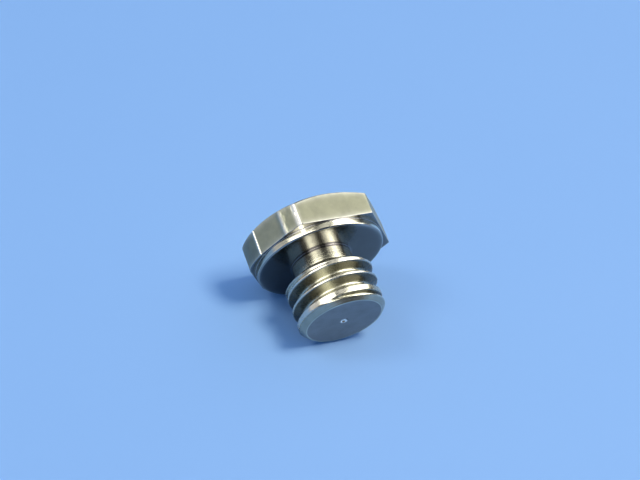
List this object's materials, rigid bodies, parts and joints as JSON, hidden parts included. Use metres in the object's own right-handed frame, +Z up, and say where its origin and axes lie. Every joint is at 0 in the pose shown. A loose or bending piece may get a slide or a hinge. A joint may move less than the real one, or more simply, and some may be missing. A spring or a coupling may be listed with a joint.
{
  "type": "hex bolt",
  "caption": "Short hex bolt with a low chamfered head, raised round bearing face, smooth neck, coarse right-hand thread and flat chamfered tip.",
  "frame": {"origin": "centre of the footprint, on the level surface that the bolt lies on", "axes": "+Z up; the bolt lies on its side with its tip toward -Y and leaning down, and +X runs across two opposite corners of the head"},
  "size_m": [0.0162, 0.014, 0.0144],
  "materials": {
    "steel": "machined, worn, bright"
  },
  "bodies": {
    "root": {"hex_bolt": "steel"}
  },
  "joints": []
}
